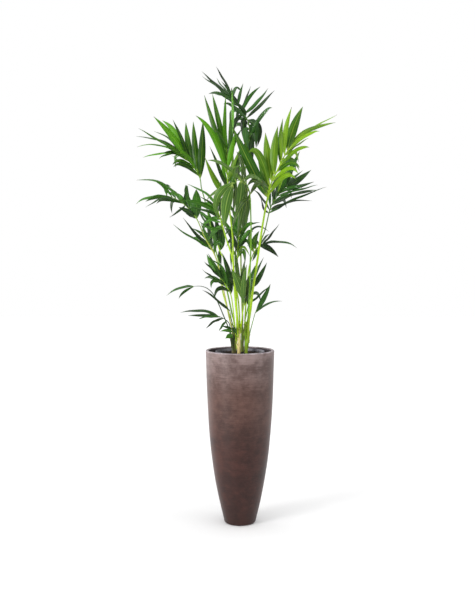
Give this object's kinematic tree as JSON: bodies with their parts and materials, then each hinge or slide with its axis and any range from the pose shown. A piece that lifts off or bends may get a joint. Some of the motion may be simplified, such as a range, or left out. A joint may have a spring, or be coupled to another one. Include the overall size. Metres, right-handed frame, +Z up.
{
  "type": "potted palm",
  "caption": "Young kentia-type palms with arching feather fronds in a nursery pot, standing in a tall tapered round planter.",
  "frame": {"origin": "on the floor, on the axis of the planter, at the centre of its flat underside", "axes": "+Z up along the planter axis; -Y is the front, the side the plant is usually seen from; +X to the right seen from the front"},
  "size_m": [1.0569, 1.0484, 2.4225],
  "materials": {
    "leaf_dark": "semi-gloss dark green blade",
    "leaf_deep": "semi-gloss green blade",
    "leaf_mid": "semi-gloss fresh green blade",
    "leaf_grey": "soft sheen, greyish green blade with pale edges",
    "leaf_bright": "semi-gloss light green blade",
    "stem_sheath": "fibrous sheath, green to tan",
    "planter_brown": "fine mottled brown with a soft sheen",
    "clay_granules": "rough fired granules",
    "nursery_plastic": "dull moulded plastic",
    "potting_soil": "crumbly dark peat and bark"
  },
  "bodies": {
    "root": {"planter": "planter_brown", "clay_granule_fill": "clay_granules", "nursery_pot": "nursery_plastic", "root_ball": "potting_soil", "stem_a": "stem_sheath", "stem_b": "stem_sheath", "stem_c": "stem_sheath", "stem_d": "stem_sheath", "stem_e": "stem_sheath", "frond_top": "leaf_dark", "frond_left_upright": "leaf_mid", "frond_left_upper": "leaf_mid", "frond_left_lower": "leaf_deep", "frond_left_front": "leaf_deep", "frond_right_front": "leaf_bright", "frond_right_back": "leaf_dark", "frond_front_centre": "leaf_grey", "frond_right_mid": "leaf_dark", "frond_left_back": "leaf_deep", "frond_left_low": "leaf_deep", "frond_centre_low": "leaf_grey", "frond_centre_mid": "leaf_deep", "frond_left_mid": "leaf_deep", "frond_back_right": "leaf_dark", "frond_right_low": "leaf_dark", "seedling_leaf_left": "leaf_dark", "seedling_leaf_centre": "leaf_dark", "frond_lowest_left": "leaf_dark", "basal_shoot": "leaf_deep"}
  },
  "joints": []
}
